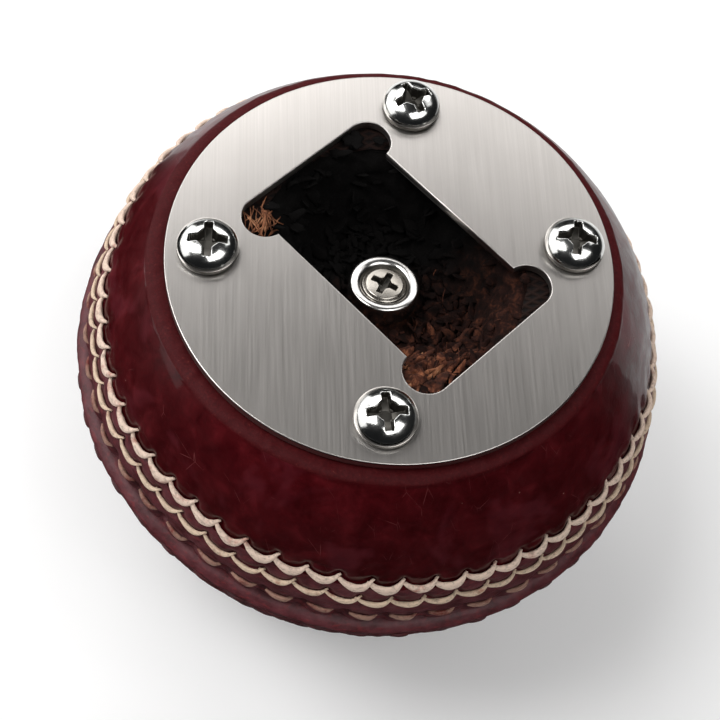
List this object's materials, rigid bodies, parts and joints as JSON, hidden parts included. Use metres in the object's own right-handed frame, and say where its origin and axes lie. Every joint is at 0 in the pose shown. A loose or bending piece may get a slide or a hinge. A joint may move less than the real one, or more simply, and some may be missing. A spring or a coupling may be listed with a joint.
{
  "type": "cricket ball bottle opener",
  "caption": "Leather cricket ball with its crown sliced off, a screwed-on round steel opener plate with a dog-bone opening, and a magnet in a pocket behind it that keeps caps.",
  "frame": {"origin": "lowest point of the ball, under the middle of its bounding box", "axes": "+Z out of the opener plate, square to it; +X along the plate's opening, towards the side where the seam lies lowest; +Y across the opening"},
  "size_m": [0.0727, 0.0728, 0.0602],
  "materials": {
    "red_leather": "polished oxblood cover leather with creases and scuffs",
    "seam_thread": "thick waxed cream thread stained with red dye",
    "cork": "reddish brown cork and fibre, rough where it was carved",
    "wool_yarn": "wound wool yarn, reddish brown",
    "plate_steel": "straight brushed stainless steel",
    "screw_steel": "bright plated steel",
    "magnet_nickel": "bright nickel plate"
  },
  "bodies": {
    "root": {"upper_leather_cup": "red_leather", "lower_leather_cup": "red_leather", "stitch_row_1": "seam_thread", "stitch_row_2": "seam_thread", "stitch_row_3": "seam_thread", "stitch_row_4": "seam_thread", "stitch_row_5": "seam_thread", "stitch_row_6": "seam_thread", "core_nucleus": "cork", "inner_yarn_layer": "wool_yarn", "inner_cork_layer": "cork", "middle_yarn_layer": "wool_yarn", "outer_cork_layer": "cork", "outer_yarn_layer": "wool_yarn", "opener_plate": "plate_steel", "plate_screw_1": "screw_steel", "plate_screw_2": "screw_steel", "plate_screw_3": "screw_steel", "plate_screw_4": "screw_steel", "cap_magnet": "magnet_nickel", "magnet_screw": "screw_steel"}
  },
  "joints": []
}
